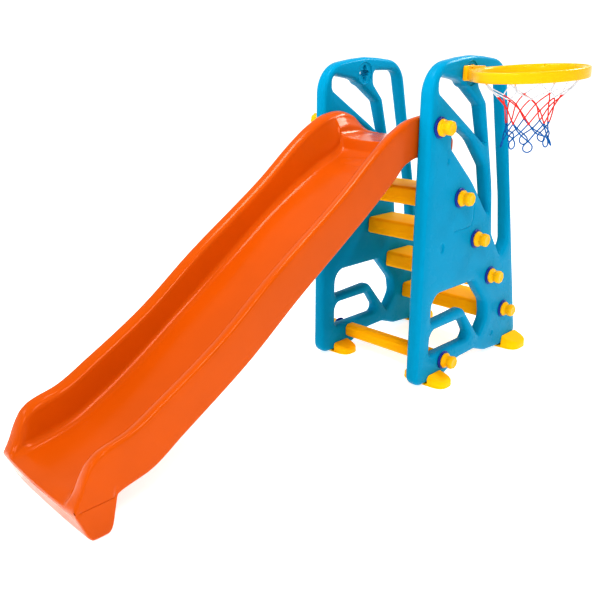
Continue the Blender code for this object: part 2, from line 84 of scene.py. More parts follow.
# Hoop and net.
HOOP_CENTRE = Vector((0.470, 0.135, 1.103))
HOOP_ROLL = radians(5.0)
HOOP_OUTER_RADIUS = 0.180
HOOP_INNER_RADIUS = 0.156
BRACKET_LENGTH = 0.118
BRACKET_HEIGHT = 0.049
BRACKET_DEPTH = 0.018
NECK_LENGTH = 0.114
HOOK_COUNT = 8
CORD_DIAMETER = 0.0042
RECESS_RADIUS = 0.042
RECESS_DEPTH = 0.004
STAR_MEAN_RADIUS = 0.022
STAR_LOBE = 0.007

# Panel outline and windows in the side view: corners as (y, z, radius).
PANEL_OUTLINE = (
    (PANEL_FRONT_Y, 0.008, 0.040), (0.096, 0.008, 0.060), (0.185, 0.047, 0.100),
    (0.310, 0.050, 0.080), (0.395, 0.020, 0.060), (0.520, 0.010, 0.080), (0.637, 0.030, 0.040),
    (0.370, 1.148, 0.105), (0.150, 1.165, 0.600), (PANEL_FRONT_Y, 1.128, 0.115),
)
WINDOWS = (
    (
        (-0.042, 1.045, 0.022), (0.170, 0.918, 0.300), (0.266, 0.858, 0.004), (0.219, 0.994, 0.025),
        (0.085, 1.080, 0.150), (-0.042, 1.096, 0.022),
    ),
    (
        (0.050, 0.862, 0.028), (0.200, 0.735, 0.250), (0.329, 0.592, 0.004), (0.282, 0.775, 0.030),
        (0.180, 0.880, 0.200), (0.050, 0.945, 0.028),
    ),
    (
        (0.191, 1.112, 0.028), (0.194, 1.064, 0.025), (0.252, 1.007, 0.030), (0.343, 0.700, 0.400),
        (0.370, 0.515, 0.040), (0.452, 0.408, 0.018), (0.492, 0.462, 0.040), (0.462, 0.640, 0.400),
        (0.342, 1.114, 0.045),
    ),
    (
        (-0.009, 0.240, 0.010), (0.205, 0.250, 0.035), (0.334, 0.102, 0.010), (0.380, 0.170, 0.045),
        (0.366, 0.235, 0.060), (0.262, 0.345, 0.020), (-0.009, 0.345, 0.060),
    ),
    (
        (-0.009, 0.110, 0.020), (0.276, 0.110, 0.020), (0.204, 0.208, 0.012),
        (-0.009, 0.208, 0.032),
    ),
)
# Blow-moulding marks on the panels' outer faces: y, z, half width, half height, depth.
DIMPLES = (
    (0.025, 0.516, 0.013, 0.019, 0.0048),
    (0.028, 0.818, 0.008, 0.011, 0.0036),
    (0.425, 0.091, 0.014, 0.012, 0.0036),
)
# Shallow groove in the outer face, as (y, z), with its half width and depth.
GROOVE = ((0.216, 0.640), (0.216, 0.594), (0.203, 0.570), (0.153, 0.564), (0.095, 0.565))
GROOVE_HALF = 0.0032
GROOVE_DEPTH = 0.0018

# Chute curves along Y, as (y, z).
RIM_LINE = (
    (CHUTE_EXIT_Y, 0.108), (-1.372, 0.140), (-1.352, 0.182), (-1.330, 0.214), (-1.300, 0.233),
    (-1.220, 0.254), (-1.120, 0.305), (-0.926, 0.416), (-0.729, 0.558), (-0.424, 0.759),
    (-0.269, 0.876), (-0.185, 0.929), (-0.105, 0.962), (-0.035, 0.971), (0.025, 0.958),
    (0.070, 0.925), (0.100, 0.902), (DECK_BACK_Y, 0.890),
)
BED_LINE = (
    (CHUTE_EXIT_Y, 0.104), (-1.300, 0.118), (-1.200, 0.143), (-1.100, 0.190), (-0.980, 0.262),
    (-0.800, 0.386), (-0.600, 0.524), (-0.400, 0.660), (-0.220, 0.770), (-0.090, 0.838),
    (-0.078, 0.876), (DECK_BACK_Y, 0.884),
)
# Width of the trough's curved wall along Y, as (y, width).
WALL_RUN_LINE = (
    (CHUTE_EXIT_Y, 0.018),
    (-0.450, 0.018),
    (-0.120, 0.042),
    (DECK_BACK_Y, 0.040),
)
SKIRT_LINE = (
    (CHUTE_EXIT_Y, 0.092), (-1.374, 0.050), (-1.360, 0.014), (-1.347, 0.001), (-1.330, 0.000),
    (-1.308, 0.000), (-1.296, 0.010), (-1.284, 0.055), (-1.272, 0.098), (-1.250, 0.106),
    (-1.175, 0.123), (-1.064, 0.185), (-0.831, 0.322), (-0.633, 0.463), (-0.339, 0.660),
    (-0.197, 0.762), (-0.130, 0.815), (-0.060, 0.833), (DECK_BACK_Y, 0.836),
)

# Colours, as linear RGB.
ORANGE = (0.49, 0.074, 0.001)
BLUE = (0.0, 0.236, 0.408)
YELLOW = (0.98, 0.49, 0.002)
HONEY = (0.83, 0.40, 0.002)
# The steps' and bar's yellow: YELLOW made darker and more orange as painted shade, for parts that stand in
# shade.
SHADED_STEP_YELLOW = (0.90, 0.43, 0.002)
NAVY = (0.006, 0.028, 0.23)
CORD_WHITE = (0.66, 0.68, 0.72)
CORD_RED = (0.72, 0.03, 0.02)
CORD_BLUE = (0.002, 0.11, 0.36)


# ---------------------------------------------------------------- materials


def node(tree, kind, **values):
    """Adds a shader node and sets its properties."""
    made = tree.nodes.new("ShaderNode" + kind)
    for key, value in values.items():
        setattr(made, key, value)
    return made


def fixed(made, values):
    """Sets constant values on a node's own sockets."""
    for name, value in values.items():
        made.inputs[name].default_value = value


def noise(tree, place, scale, detail=3.0, rough=0.5):
    """Noise at a scale in cycles per metre; returns its 0 to 1 output."""
    made = node(tree, "TexNoise")
    fixed(made, {"Scale": scale, "Detail": detail, "Roughness": rough})
    tree.links.new(place, made.inputs["Vector"])
    return made.outputs["Fac"]


def ranged(tree, value, low, high, out_low=0.0, out_high=1.0):
    """Maps low to high onto a new range, clamped and eased."""
    made = node(tree, "MapRange", interpolation_type="SMOOTHSTEP")
    fixed(made, {"From Min": low, "From Max": high, "To Min": out_low, "To Max": out_high})
    tree.links.new(value, made.inputs["Value"])
    return made.outputs["Result"]


def math_node(tree, operation, first, second):
    """One arithmetic step on sockets or numbers."""
    made = node(tree, "Math", operation=operation)
    for slot, value in zip(made.inputs, (first, second)):
        if isinstance(value, (int, float)):
            slot.default_value = value
        else:
            tree.links.new(value, slot)
    return made.outputs[0]


def mixed(tree, share, first, second):
    """Colour between two, which are sockets or linear RGB."""
    made = node(tree, "Mix", data_type="RGBA")
    tree.links.new(share, made.inputs[0])
    for slot, value in zip(made.inputs[6:8], (first, second)):
        if isinstance(value, tuple):
            slot.default_value = (*value, 1.0)
        else:
            tree.links.new(value, slot)
    return made.outputs[2]


def toned(colour, gain, lift=0.0):
    """The colour made lighter or darker, and paler by lift."""
    return tuple(min(1.0, c * gain + lift) for c in colour)


def bumped(tree, height, distance, strength, normal=None):
    """A bump node on a height, chained on another one's normal."""
    made = node(tree, "Bump")
    fixed(made, {"Distance": distance, "Strength": strength})
    tree.links.new(height, made.inputs["Height"])
    if normal is not None:
        tree.links.new(normal, made.inputs["Normal"])
    return made.outputs["Normal"]


def plastic(name, colour, roughness, grain, shine, scuff=0.35, along=(1.0, 1.0, 1.0)):
    """Moulded plastic: mottled colour, moulded grain, faint waviness, rubbed arrises and fine scuffs."""
    made = bpy.data.materials.new(name)
    made.use_nodes = True
    tree = made.node_tree
    shader = tree.nodes["Principled BSDF"]
    place = node(tree, "TexCoord").outputs["Object"]
    mottle = noise(tree, place, 5.0, 4.0)
    body = mixed(tree, ranged(tree, mottle, 0.30, 0.72), toned(colour, 0.96), toned(colour, 1.03))
    specks = ranged(tree, noise(tree, place, 90.0, 5.0, 0.65), 0.60, 0.78, 0.0, 0.10)
    body = mixed(tree, specks, body, toned(colour, 0.84))
    arris = ranged(tree, node(tree, "NewGeometry").outputs["Pointiness"], 0.535, 0.62)
    rubbed = ranged(tree, noise(tree, place, 32.0, 4.0, 0.6), 0.42, 0.66)
    wear = math_node(tree, "MULTIPLY", math_node(tree, "MULTIPLY", arris, rubbed), scuff)
    body = mixed(tree, wear, body, toned(colour, 1.0, 0.22))
    tree.links.new(body, shader.inputs["Base Color"])
    stretch = node(tree, "Mapping")
    stretch.inputs["Scale"].default_value = along
    tree.links.new(place, stretch.inputs["Vector"])
    streaks = noise(tree, stretch.outputs["Vector"], 150.0, 4.0, 0.6)
    cloud = noise(tree, place, 14.0, 3.0)
    gloss = math_node(tree, "ADD", ranged(tree, cloud, 0.3, 0.7, roughness - 0.03, roughness + 0.04),
                      ranged(tree, streaks, 0.55, 0.80, 0.0, 0.10))
    tree.links.new(math_node(tree, "ADD", gloss, math_node(tree, "MULTIPLY", wear, 0.3)),
                   shader.inputs["Roughness"])
    normal = bumped(tree, noise(tree, place, 7.0, 1.0), 0.002, 0.06)
    normal = bumped(tree, noise(tree, place, 700.0, 2.0, 0.6), 0.0002, grain, normal)
    normal = bumped(tree, streaks, 0.00005, 0.20, normal)
    tree.links.new(normal, shader.inputs["Normal"])
    tint = (*(0.3 + 0.7 * c / max(colour) for c in colour), 1.0)
    fixed(shader, {"IOR": 1.50, "Specular IOR Level": shine, "Specular Tint": tint})
    return made


def cord_material():
    """Braided cord, white at the hooks, red in the middle and blue at the hem, by height in the hoop."""
    made = bpy.data.materials.new("cord_braid")
    made.use_nodes = True
    tree = made.node_tree
    shader = tree.nodes["Principled BSDF"]
    place = node(tree, "TexCoord").outputs["Object"]
    axis = node(tree, "VectorMath", operation="DOT_PRODUCT")
    tree.links.new(place, axis.inputs[0])
    axis.inputs[1].default_value = hoop_axis()
    centre = (HOOP_CENTRE + SHIFT).dot(hoop_axis())
    height = math_node(tree, "SUBTRACT", axis.outputs["Value"], centre)
    frayed = math_node(tree, "MULTIPLY", noise(tree, place, 60.0, 2.0), 0.006)
    height = math_node(tree, "ADD", height, frayed)
    above_blue = math_node(tree, "GREATER_THAN", height, NET_ROWS[4][1] + 0.002)
    above_red = math_node(tree, "GREATER_THAN", height, NET_ROWS[2][1] + 0.004)
    body = mixed(tree, above_blue, CORD_BLUE, CORD_RED)
    body = mixed(tree, above_red, body, CORD_WHITE)
    braid = noise(tree, place, 1500.0, 2.0, 0.7)
    body = mixed(tree, ranged(tree, braid, 0.35, 0.70, 0.0, 0.35), body, (0.02, 0.02, 0.03))
    tree.links.new(body, shader.inputs["Base Color"])
    tree.links.new(ranged(tree, braid, 0.3, 0.7, 0.62, 0.85), shader.inputs["Roughness"])
    tree.links.new(bumped(tree, braid, 0.0006, 0.8), shader.inputs["Normal"])
    shader.inputs["Specular IOR Level"].default_value = 0.1
    return made


# ---------------------------------------------------------------- shapes


def smooth_curve(points):
    """A function z(y) through the points, smooth and without overshoot."""
    ys = [p[0] for p in points]
    zs = [p[1] for p in points]
    slopes = [(zs[i + 1] - zs[i]) / (ys[i + 1] - ys[i]) for i in range(len(points) - 1)]
    tangents = [slopes[0]]
    for before, after in zip(slopes, slopes[1:]):
        flat = before * after <= 0
        tangents.append(0.0 if flat else 2 * before * after / (before + after))
    tangents.append(slopes[-1])

    def value(y):
        y = min(max(y, ys[0]), ys[-1])
        i = max(k for k in range(len(slopes)) if ys[k] <= y)
        width = ys[i + 1] - ys[i]
        t = (y - ys[i]) / width
        rise = zs[i + 1] - zs[i]
        bend_in = tangents[i] * width - rise
        bend_out = rise - tangents[i + 1] * width
        return zs[i] + t * rise + t * (1 - t) * ((1 - t) * bend_in + t * bend_out)

    return value


def rounded(corners, turn=radians(9)):
    """Closed outline from corners (u, v, radius), each one turned into an arc."""
    outline = []
    for i, (u, v, radius) in enumerate(corners):
        here = Vector((u, v))
        back = Vector(corners[i - 1][:2]) - here
        ahead = Vector(corners[(i + 1) % len(corners)][:2]) - here
        half = back.angle(ahead) / 2
        reach = min(radius / math.tan(half), 0.49 * back.length, 0.49 * ahead.length)
        start = here + back.normalized() * reach
        end = here + ahead.normalized() * reach
        middle = (start + end) / 2
        centre = here + (middle - here) * (reach / cos(half) / (middle - here).length)
        bend = pi - 2 * half
        steps = max(1, math.ceil(bend / turn - 0.01))
        sense = 1 if back.cross(ahead) < 0 else -1
        spoke = start - centre
        for k in range(steps + 1):
            angle = sense * bend * k / steps
            c, s = cos(angle), sin(angle)
            outline.append(centre + Vector((c * spoke.x - s * spoke.y, s * spoke.x + c * spoke.y)))
    return outline


def divided(outline, longest):
    """The outline with its long edges divided."""
    result = []
    for here, after in zip(outline, outline[1:] + outline[:1]):
        count = max(1, math.ceil((after - here).length / longest))
        result += [here.lerp(after, k / count) for k in range(count)]
    return result


def circle(centre, radius, count):
    """Closed outline of a circle."""
    turns = [2 * pi * (k + 0.5) / count for k in range(count)]
    return [Vector((centre[0] + radius * cos(a), centre[1] + radius * sin(a))) for a in turns]


def lobed(mean_radius, lobe, count=64, lobes=4):
    """Outline with lobes about its own centre, or a circle where lobe is 0."""
    outline = []
    for k in range(count):
        angle = 2 * pi * k / count
        radius = mean_radius + lobe * cos(lobes * angle)
        outline.append(Vector((radius * cos(angle), radius * sin(angle))))
    return outline


def area(outline):
    """Signed area of a closed outline."""
    return sum(p.cross(q) for p, q in zip(outline, outline[1:] + outline[:1])) / 2


def offset(outline, distance):
    """The outline moved outwards by a distance, or inwards when it is negative."""
    side = 1 if area(outline) > 0 else -1
    moved = []
    for before, here, after in zip(outline[-1:] + outline[:-1], outline, outline[1:] + outline[:1]):
        first = (here - before).normalized()
        second = (after - here).normalized()
        normal = Vector((first.y + second.y, -first.x - second.x)).normalized() * side
        stretch = max(0.5, cos(first.angle(second) / 2))
        moved.append(here + normal * distance / stretch)
    return moved


def ring_of_verts(work, outline, x):
    """One closed loop of vertices at a place along X."""
    return [work.verts.new((x, p.x, p.y)) for p in outline]


def join_loops(work, first, second, closed=True):
    """Quads between two loops of the same count."""
    count = len(first)
    for k in range(count if closed else count - 1):
        work.faces.new((first[k], first[(k + 1) % count], second[(k + 1) % count], second[k]))


def join_all(work, loops):
    """Quads between each loop and the next."""
    for first, second in zip(loops, loops[1:]):
        join_loops(work, first, second)


def skin(work, loops, triangles=False):
    """Walls through the loops, with the two ends closed by one face each or by triangles."""
    join_all(work, loops)
    for loop in (loops[0], loops[-1]):
        if triangles:
            edges = [work.edges.get((loop[k - 1], loop[k])) for k in range(len(loop))]
            bmesh.ops.triangle_fill(work, use_beauty=True, use_dissolve=False, edges=edges)
        else:
            work.faces.new(loop)


def finish_mesh(name, work):
    """Turns a bmesh into a mesh with its faces pointing out."""
    bmesh.ops.remove_doubles(work, verts=work.verts, dist=0.000001)
    bmesh.ops.recalc_face_normals(work, faces=work.faces)
    data = bpy.data.meshes.new(name)
    work.to_mesh(data)
    work.free()
    return data


def solid_along_x(name, sections):
    """Closed solid through outlines in the side view, given as (x, outline) pairs."""
    work = bmesh.new()
    skin(work, [ring_of_verts(work, outline, x) for x, outline in sections])
    return finish_mesh(name, work)


def end_levels(x, soft, steps):
    """(x, inset) pairs of a rounded end, from its tip inwards."""
    turns = [pi / 2 * k / steps for k in range(steps + 1)]
    return [(x + soft * (1 - cos(a)), soft * (1 - sin(a))) for a in turns]


def mirrored(name, data):
    """A copy of a mesh reflected to the other side of the slide."""
    work = bmesh.new()
    work.from_mesh(data)
    for vert in work.verts:
        vert.co.x = -vert.co.x
    return finish_mesh(name, work)


def moved(data, offset_by):
    """A copy of a mesh moved by a vector."""
    copy = data.copy()
    copy.transform(Matrix.Translation(offset_by))
    return copy


def placed(name, data):
    """A new object in the scene."""
    made = bpy.data.objects.new(name, data)
    bpy.context.scene.collection.objects.link(made)
    return made


def piece(name, data, body, slot, nodes=(), sharp=40):
    """Makes a shown piece from a mesh in the design axes, riding on a body and standing for CAD nodes."""
    made = placed(name, data)
    data.transform(Matrix.Translation(SHIFT))
    data.materials.clear()
    data.materials.append(FINISH[slot])
    data.shade_smooth()
    data.set_sharp_from_angle(angle=radians(sharp))
    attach(made, body)
    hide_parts(*nodes)
    return made


def combined(name, base, tools):
    """The base mesh after Boolean steps, given as (operation, mesh) pairs."""
    target = placed(name, base)
    helpers = [target]
    for operation, data in tools:
        helper = placed(name + "_tool", data)
        helpers.append(helper)
        change = target.modifiers.new(operation, "BOOLEAN")
        change.operation = operation
        change.solver = "EXACT"
        change.object = helper
    graph = bpy.context.evaluated_depsgraph_get()
    result = bpy.data.meshes.new_from_object(target.evaluated_get(graph))
    for helper in helpers:
        bpy.data.objects.remove(helper, do_unlink=True)
    return result


def eased(share):
    """Smooth step from 0 to 1, on a number or an array."""
    share = np.clip(share, 0.0, 1.0)
    return share * share * (3 - 2 * share)


# ---------------------------------------------------------------- panels

EDGE_INSET = 0.012
EDGE_DEPTH = 0.019
EDGE_STEPS = 8
EDGE_TURN = radians(80)
CROWN = 0.0020
CROWN_RUN = 0.024
GRID = 0.0065
ROW_SHARE = 0.866
CLEAR_SHARE = 0.45
EDGE_LENGTH = 0.010
BORE_MOUTH = ((0.0150, 0.0), (0.0130, 0.0002), (0.0121, 0.0010), (0.0118, 0.0022))
# The recess's wall, as (step in from its radius, depth below the face), and the star's mouth, as
# (growth, height above the recess's floor).
RECESS_WALL = ((0.0001, 0.0003), (0.0012, 0.0005), (0.0018, 0.0014))
STAR_MOUTH = ((0.0042, 0.0), (0.0030, 0.0008), (0.0016, 0.0006), (0.0, -0.0016))


def edge_profile():
    """(inset, x from the middle plane) pairs of a panel's moulded edge, from the middle to the face."""
    top = PANEL_HALF - CROWN
    pairs = [(0.0, 0.0)]
    for k in range(EDGE_STEPS + 1):
        a = EDGE_TURN * k / EDGE_STEPS
        inset = EDGE_INSET * (1 - cos(a)) / (1 - cos(EDGE_TURN))
        pairs.append((inset, top - EDGE_DEPTH * (1 - sin(a) / sin(EDGE_TURN))))
    return pairs


def distance_to_loops(points, loops):
    """Distance in the side view from each point to the nearest loop."""
    nearest = np.full(len(points), 9.0)
    for loop in loops:
        start = np.array(loop)
        run = np.roll(start, -1, axis=0) - start
        for a, d in zip(start, run):
            share = np.clip(((points - a) @ d) / max(d @ d, 1e-12), 0, 1)
            gap = np.linalg.norm(points - a - share[:, None] * d, axis=1)
            nearest = np.minimum(nearest, gap)
    return nearest


def inside(points, loop):
    """Whether each point lies inside a closed loop."""
    crossed = np.zeros(len(points), bool)
    ring = np.array(loop)
    for a, b in zip(ring, np.roll(ring, -1, axis=0)):
        spans = (a[1] > points[:, 1]) != (b[1] > points[:, 1])
        if spans.any():
            at = a[0] + (points[:, 1] - a[1]) * (b[0] - a[0]) / (b[1] - a[1] + 1e-15)
            crossed ^= spans & (points[:, 0] < at)
    return crossed


def face_points(loops, extra):
    """Points for a face's mesh: an even grid plus extra ones, clear of the loops."""
    ring = np.array(loops[0])
    low, high = ring.min(0), ring.max(0)
    rows = np.arange(low[1], high[1], GRID * ROW_SHARE)
    points = []
    for k, z in enumerate(rows):
        ys = np.arange(low[0] + (k % 2) * GRID / 2, high[0], GRID)
        points.append(np.stack([ys, np.full(len(ys), z)], axis=1))
    points = np.concatenate(points)
    if len(extra):
        fine = np.array(extra)
        near = np.array([np.min(np.linalg.norm(fine - p, axis=1)) for p in points])
        points = np.concatenate([points[near > GRID * CLEAR_SHARE], fine])
    keep = inside(points, loops[0])
    for loop in loops[1:]:
        keep &= ~inside(points, loop)
    points = points[keep]
    return points[distance_to_loops(points, loops) > GRID * CLEAR_SHARE]


def relief(points, gap, marked):
    """How far the face stands out from its edge loops: crowned, with the groove and dimples if marked."""
    out = CROWN * eased(gap / CROWN_RUN)
    if marked:
        y, z = points[:, 0], points[:, 1]
        out -= GROOVE_DEPTH * eased(1 - distance_to_loops(points, [GROOVE + GROOVE[-2:0:-1]]) / GROOVE_HALF)
        for cy, cz, ry, rz, depth in DIMPLES:
            r = np.sqrt(((y - cy) / ry) ** 2 + ((z - cz) / rz) ** 2)
            out -= depth * eased((1.04 - r) / 0.34)
            out += 0.35 * depth * eased(1 - r / 0.50)
    return out


def marked_points():
    """Extra face points around the dimples and along the groove."""
    extra = []
    for cy, cz, ry, rz, _ in DIMPLES:
        for share in (0.0, 0.25, 0.50, 0.70, 0.82, 0.94, 1.06, 1.3):
            count = 1 if share == 0 else int(10 + 20 * share)
            for k in range(count):
                a = 2 * pi * k / count
                extra.append((cy + ry * share * cos(a), cz + rz * share * sin(a)))
    for start, end in zip(GROOVE, GROOVE[1:]):
        here, along = Vector(start), Vector(end) - Vector(start)
        across = Vector((-along.y, along.x)).normalized()
        count = math.ceil(along.length / 0.003)
        extra += [tuple(here + along * (k / count) + across * (GROOVE_HALF * 0.45 * side))
                  for k in range(count) for side in (-2, -1, 0, 1, 2)]
    return extra


def fill_face(work, edge_loops, bores, x, side, marked):
    """Meshes one face of the panel between its loops and lifts it by its relief."""
    loops = edge_loops + bores
    outlines = [[(v.co.y, v.co.z) for v in loop] for loop in loops]
    rims = outlines[: len(edge_loops)]
    points = face_points(outlines, marked_points() if marked else [])
    out = relief(points, distance_to_loops(points, rims), marked)
    for loop, outline in zip(bores, outlines[len(edge_loops):]):
        place = np.array(outline)
        for vert, h in zip(loop, relief(place, distance_to_loops(place, rims), marked)):
            vert.co.x += side * h
    verts = [v for loop in loops for v in loop]
    verts += [work.verts.new((x + side * h, p[0], p[1])) for p, h in zip(points, out)]
    edges, start = [], 0
    for loop in loops:
        count = len(loop)
        edges += [(start + k, start + (k + 1) % count) for k in range(count)]
        start += count
    flat = [Vector((v.co.y, v.co.z)) for v in verts]
    _, _, faces, origin, _, _ = delaunay_2d_cdt(flat, edges, [], 1, 1e-7)
    middles = np.array([np.mean([flat[origin[i][0]] for i in f], axis=0) for f in faces])
    keep = np.ones(len(faces), bool)
    for outline in outlines[1:]:
        keep &= ~inside(middles, outline)
    for face, kept in zip(faces, keep):
        if kept:
            work.faces.new([verts[origin[i][0]] for i in face])


def panel_mesh():
    """Right-hand side panel as a fine closed mesh."""
    profile = edge_profile()
    both = [(inset, -x) for inset, x in reversed(profile[1:])] + profile
    work = bmesh.new()
    low_face, high_face = [], []
    shapes = [(divided(rounded(PANEL_OUTLINE), EDGE_LENGTH), -1)]
    shapes += [(divided(rounded(w), EDGE_LENGTH), 1) for w in WINDOWS]
    for shape, sense in shapes:
        loops = [ring_of_verts(work, clear_of_socket(offset(shape, sense * inset), inset), PANEL_MIDDLE_X + x)
                 for inset, x in both]
        join_all(work, loops)
        low_face.append(loops[0])
        high_face.append(loops[-1])
    low_bores, high_bores = [], []
    for family in [bore_loops(place) for _, place in fixings()] + [socket_loops()]:
        loops = [ring_of_verts(work, outline, PANEL_MIDDLE_X + x) for outline, x in family]
        join_all(work, loops)
        low_bores.append(loops[0])
        high_bores.append(loops[-1])
    top = PANEL_HALF - CROWN
    fill_face(work, low_face, low_bores, PANEL_MIDDLE_X - top, -1, False)
    fill_face(work, high_face, high_bores, PANEL_MIDDLE_X + top, 1, True)
    return finish_mesh("panel", work)


def clear_of_socket(outline, inset):
    """The outline pushed off the hoop's recess where its edge rounding would run into it."""
    centre = Vector((HOOP_CENTRE.y, HOOP_CENTRE.z))
    least = RECESS_RADIUS + 0.0022 + 0.3 * (EDGE_INSET - inset)
    return [centre + (p - centre) * max(1.0, least / (p - centre).length) for p in outline]


def bore_loops(place):
    """Loops of a screw's bore with a soft mouth, from the low face to the high one."""
    steps = [(radius, PANEL_HALF - CROWN - depth) for radius, depth in BORE_MOUTH]
    both = [(r, -x) for r, x in steps] + [(r, x) for r, x in reversed(steps)]
    return [(circle(place, radius, 40), x) for radius, x in both]


def socket_loops():
    """Loops of the hoop's round recess and star-shaped hole, from the low face to the high one."""
    top = PANEL_HALF - CROWN
    floor = PANEL_HALF - RECESS_DEPTH
    disc = [(RECESS_RADIUS + 0.0010, top), (RECESS_RADIUS + 0.0006, PANEL_HALF - 0.0008)]
    disc += [(RECESS_RADIUS - step, PANEL_HALF - depth) for step, depth in RECESS_WALL]
    disc += [(RECESS_RADIUS - 0.0022, floor + 0.0006), (RECESS_RADIUS - 0.0034, floor)]
    steps = [(lobed(radius, 0.0), x) for radius, x in disc]
    steps += [(lobed(STAR_MEAN_RADIUS + grow, STAR_LOBE), floor + rise) for grow, rise in STAR_MOUTH]
    centre = Vector((HOOP_CENTRE.y, HOOP_CENTRE.z))
    steps = [([p + centre for p in outline], x) for outline, x in steps]
    return [(outline, -x) for outline, x in steps] + [(outline, x) for outline, x in reversed(steps)]


def fixings():
    """Names and places of the hand screws on one side."""
    places = [("chute", CHUTE_FIXING)]
    places += [(f"step_{k + 1}", step_fixing(k)) for k in range(STEP_COUNT)]
    return places + [("bar", BAR_FIXING)]


def step_fixing(index):
    """Place of a step's hand screws, counted from the top step."""
    return tuple(TOP_STEP_FIXING[k] + index * STEP_PITCH[k] for k in range(2))


def make_panels():
    """Both side panels."""
    right = panel_mesh()
    for side, data in (("right", right), ("left", mirrored("panel_left", right))):
        piece("side_panel_" + side, data, "frame", "panel_plastic", ["panel_" + side])


# ---------------------------------------------------------------- chute

ARRIS = 0.012
SEAM_HALF = 0.0016
SEAM_DEPTH = 0.0014
BED_DISH = 0.008
WALL_TOP_DROP = 0.019
SHOULDER_X = 0.100
LIP_RADIUS = 0.004
# How the rim falls towards the trough, as (run, drop).
RIM_FALL = ((0.006, 0.0006), (0.014, 0.0026), (0.022, 0.0060), (0.028, 0.0105), (0.0325, 0.0170))
# Runs of sections along Y, as (end, count), from the exit to the deck's back.
CHUTE_RUNS = (
    (-1.384, 8), (-1.270, 34), (-0.980, 26), (-0.300, 44), (-0.110, 18), (-0.092, 5), (-0.075, 14),
    (-0.060, 4), (0.126, 26), (DECK_BACK_Y, 8),
)


def chute_outside(rim, skirt, arris):
    """Half section from the underside's middle, up the outer wall with its seam and over the arris."""
    under = min(ARRIS, 0.30 * (rim - skirt))
    half = [(SPAN_HALF * k / 6, skirt) for k in range(6)]
    for k in range(6):
        a = radians(18 * k)
        half.append((SPAN_HALF - under * (1 - sin(a)), skirt + under * (1 - cos(a))))
    low, high = skirt + under, rim - arris
    seam = min(max(SEAM_Z, low + 0.15 * (high - low)), low + 0.85 * (high - low))
    depth = SEAM_DEPTH * float(eased((0.080 - skirt) / 0.03))
    half += [(SPAN_HALF, low + (seam - SEAM_HALF - low) * k / 3) for k in range(4)]
    half += [(SPAN_HALF - depth, seam - 0.0005), (SPAN_HALF - depth, seam + 0.0005)]
    half += [(SPAN_HALF, seam + SEAM_HALF + (high - seam - SEAM_HALF) * k / 4) for k in range(4)]
    for k in range(9):
        a = radians(90 * k / 8)
        half.append((SPAN_HALF - arris * (1 - cos(a)), high + arris * sin(a)))
    return half


def chute_inside(rim, bed, wall_run, start):
    """Half section from the rim's arris down the trough's wall, round its foot and along the bed."""
    height = max(rim - bed, 0.0)
    fall = min(1.0, height / 0.05)
    knots = [(-start, rim)] + [(run - start, rim - drop * fall) for run, drop in RIM_FALL]
    dish = BED_DISH * float(eased(height / 0.08))
    foot = RIM_INNER_X - wall_run
    wall = max(height - WALL_TOP_DROP * fall - dish, 0.0)
    bend = min(FOOT_RADIUS, 0.45 * wall)
    for share in (0.92, 0.78, 0.64, 0.50):
        lift = bend + (wall - bend) * share
        knots.append((-(foot + wall_run * lift / max(wall, 0.001)), bed + dish + lift))
    centre = foot + wall_run * bend / max(wall, 0.001) - FOOT_RADIUS
    for turn in (5, 20, 35, 50, 65, 80, 90):
        a = radians(turn)
        x = centre + FOOT_RADIUS * cos(a)
        knots.append((-x, bed + dish * min(x / foot, 1.0) ** 2 + bend * (1 - sin(a))))
    knots += [(-centre * k, bed + dish * (centre * k / foot) ** 2) for k in (0.85, 0.7, 0.5, 0.3, 0.0)]
    inner = smooth_curve(knots)
    places = [start + (SHOULDER_X - start) * k / 60 for k in range(1, 61)]
    places += [SHOULDER_X * (1 - k / 14) for k in range(1, 15)]
    return [(x, inner(-x)) for x in places]


def chute_section(y, rim, bed, skirt, wall_run):
    """Fine closed section across the chute, bowed at the chute's two ends."""
    arris = min(ARRIS, 0.45 * (rim - skirt))
    half = chute_outside(rim, skirt, arris) + chute_inside(rim, bed, wall_run, SPAN_HALF - arris)
    left = [(-x, z) for x, z in reversed(half[1:-1])]
    bow = DECK_BOW * max(0.0, 1 - (DECK_BACK_Y - y) / BOW_RUN) ** 2
    bow -= EXIT_BOW * max(0.0, 1 - (y - CHUTE_EXIT_Y) / BOW_RUN) ** 2
    return [Vector((x, y + bow * (1 - (x / SPAN_HALF) ** 2), z)) for x, z in half + left]


def chute_stations():
    """Places along Y where the section is taken, with the ends and the bends fine."""
    places, start = [CHUTE_EXIT_Y], CHUTE_EXIT_Y
    for end, count in CHUTE_RUNS:
        places += [start + (end - start) * (k + 1) / count for k in range(count)]
        start = end
    return places


def lip(y):
    """How much the section shrinks at its two open ends, so that they end round."""
    inward = min(y - CHUTE_EXIT_Y, DECK_BACK_Y - y)
    share = max(0.0, 1 - inward / LIP_RADIUS)
    return LIP_RADIUS * (1 - sqrt(max(0.0, 1 - share * share)))


def make_chute():
    """The chute's shell with its deck, trough, exit lip and exit leg."""
    rim, bed, skirt = smooth_curve(RIM_LINE), smooth_curve(BED_LINE), smooth_curve(SKIRT_LINE)
    wall_run = smooth_curve(WALL_RUN_LINE)
    work = bmesh.new()
    loops = []
    for y in chute_stations():
        off = lip(y)
        section = chute_section(y, rim(y) - off, bed(y) - off, skirt(y) + 0.6 * off, wall_run(y))
        loops.append([work.verts.new(p) for p in section])
    skin(work, loops, triangles=True)
    piece("chute_shell", finish_mesh("chute_shell", work), "frame", "chute_plastic", ["chute"], 50)


# ---------------------------------------------------------------- steps, bar, feet


def bar_mesh(name, outline, end_radius):
    """Straight bar along X between the panels, with rounded ends."""
    tip = end_levels(-SPAN_HALF, end_radius, 4)
    middle = [(-SPAN_HALF + (2 * SPAN_HALF) * k / 24, 0.0) for k in range(2, 23)]
    levels = tip + middle + [(-x, inset) for x, inset in reversed(tip)]
    return solid_along_x(name, [(x, offset(outline, -inset)) for x, inset in levels])


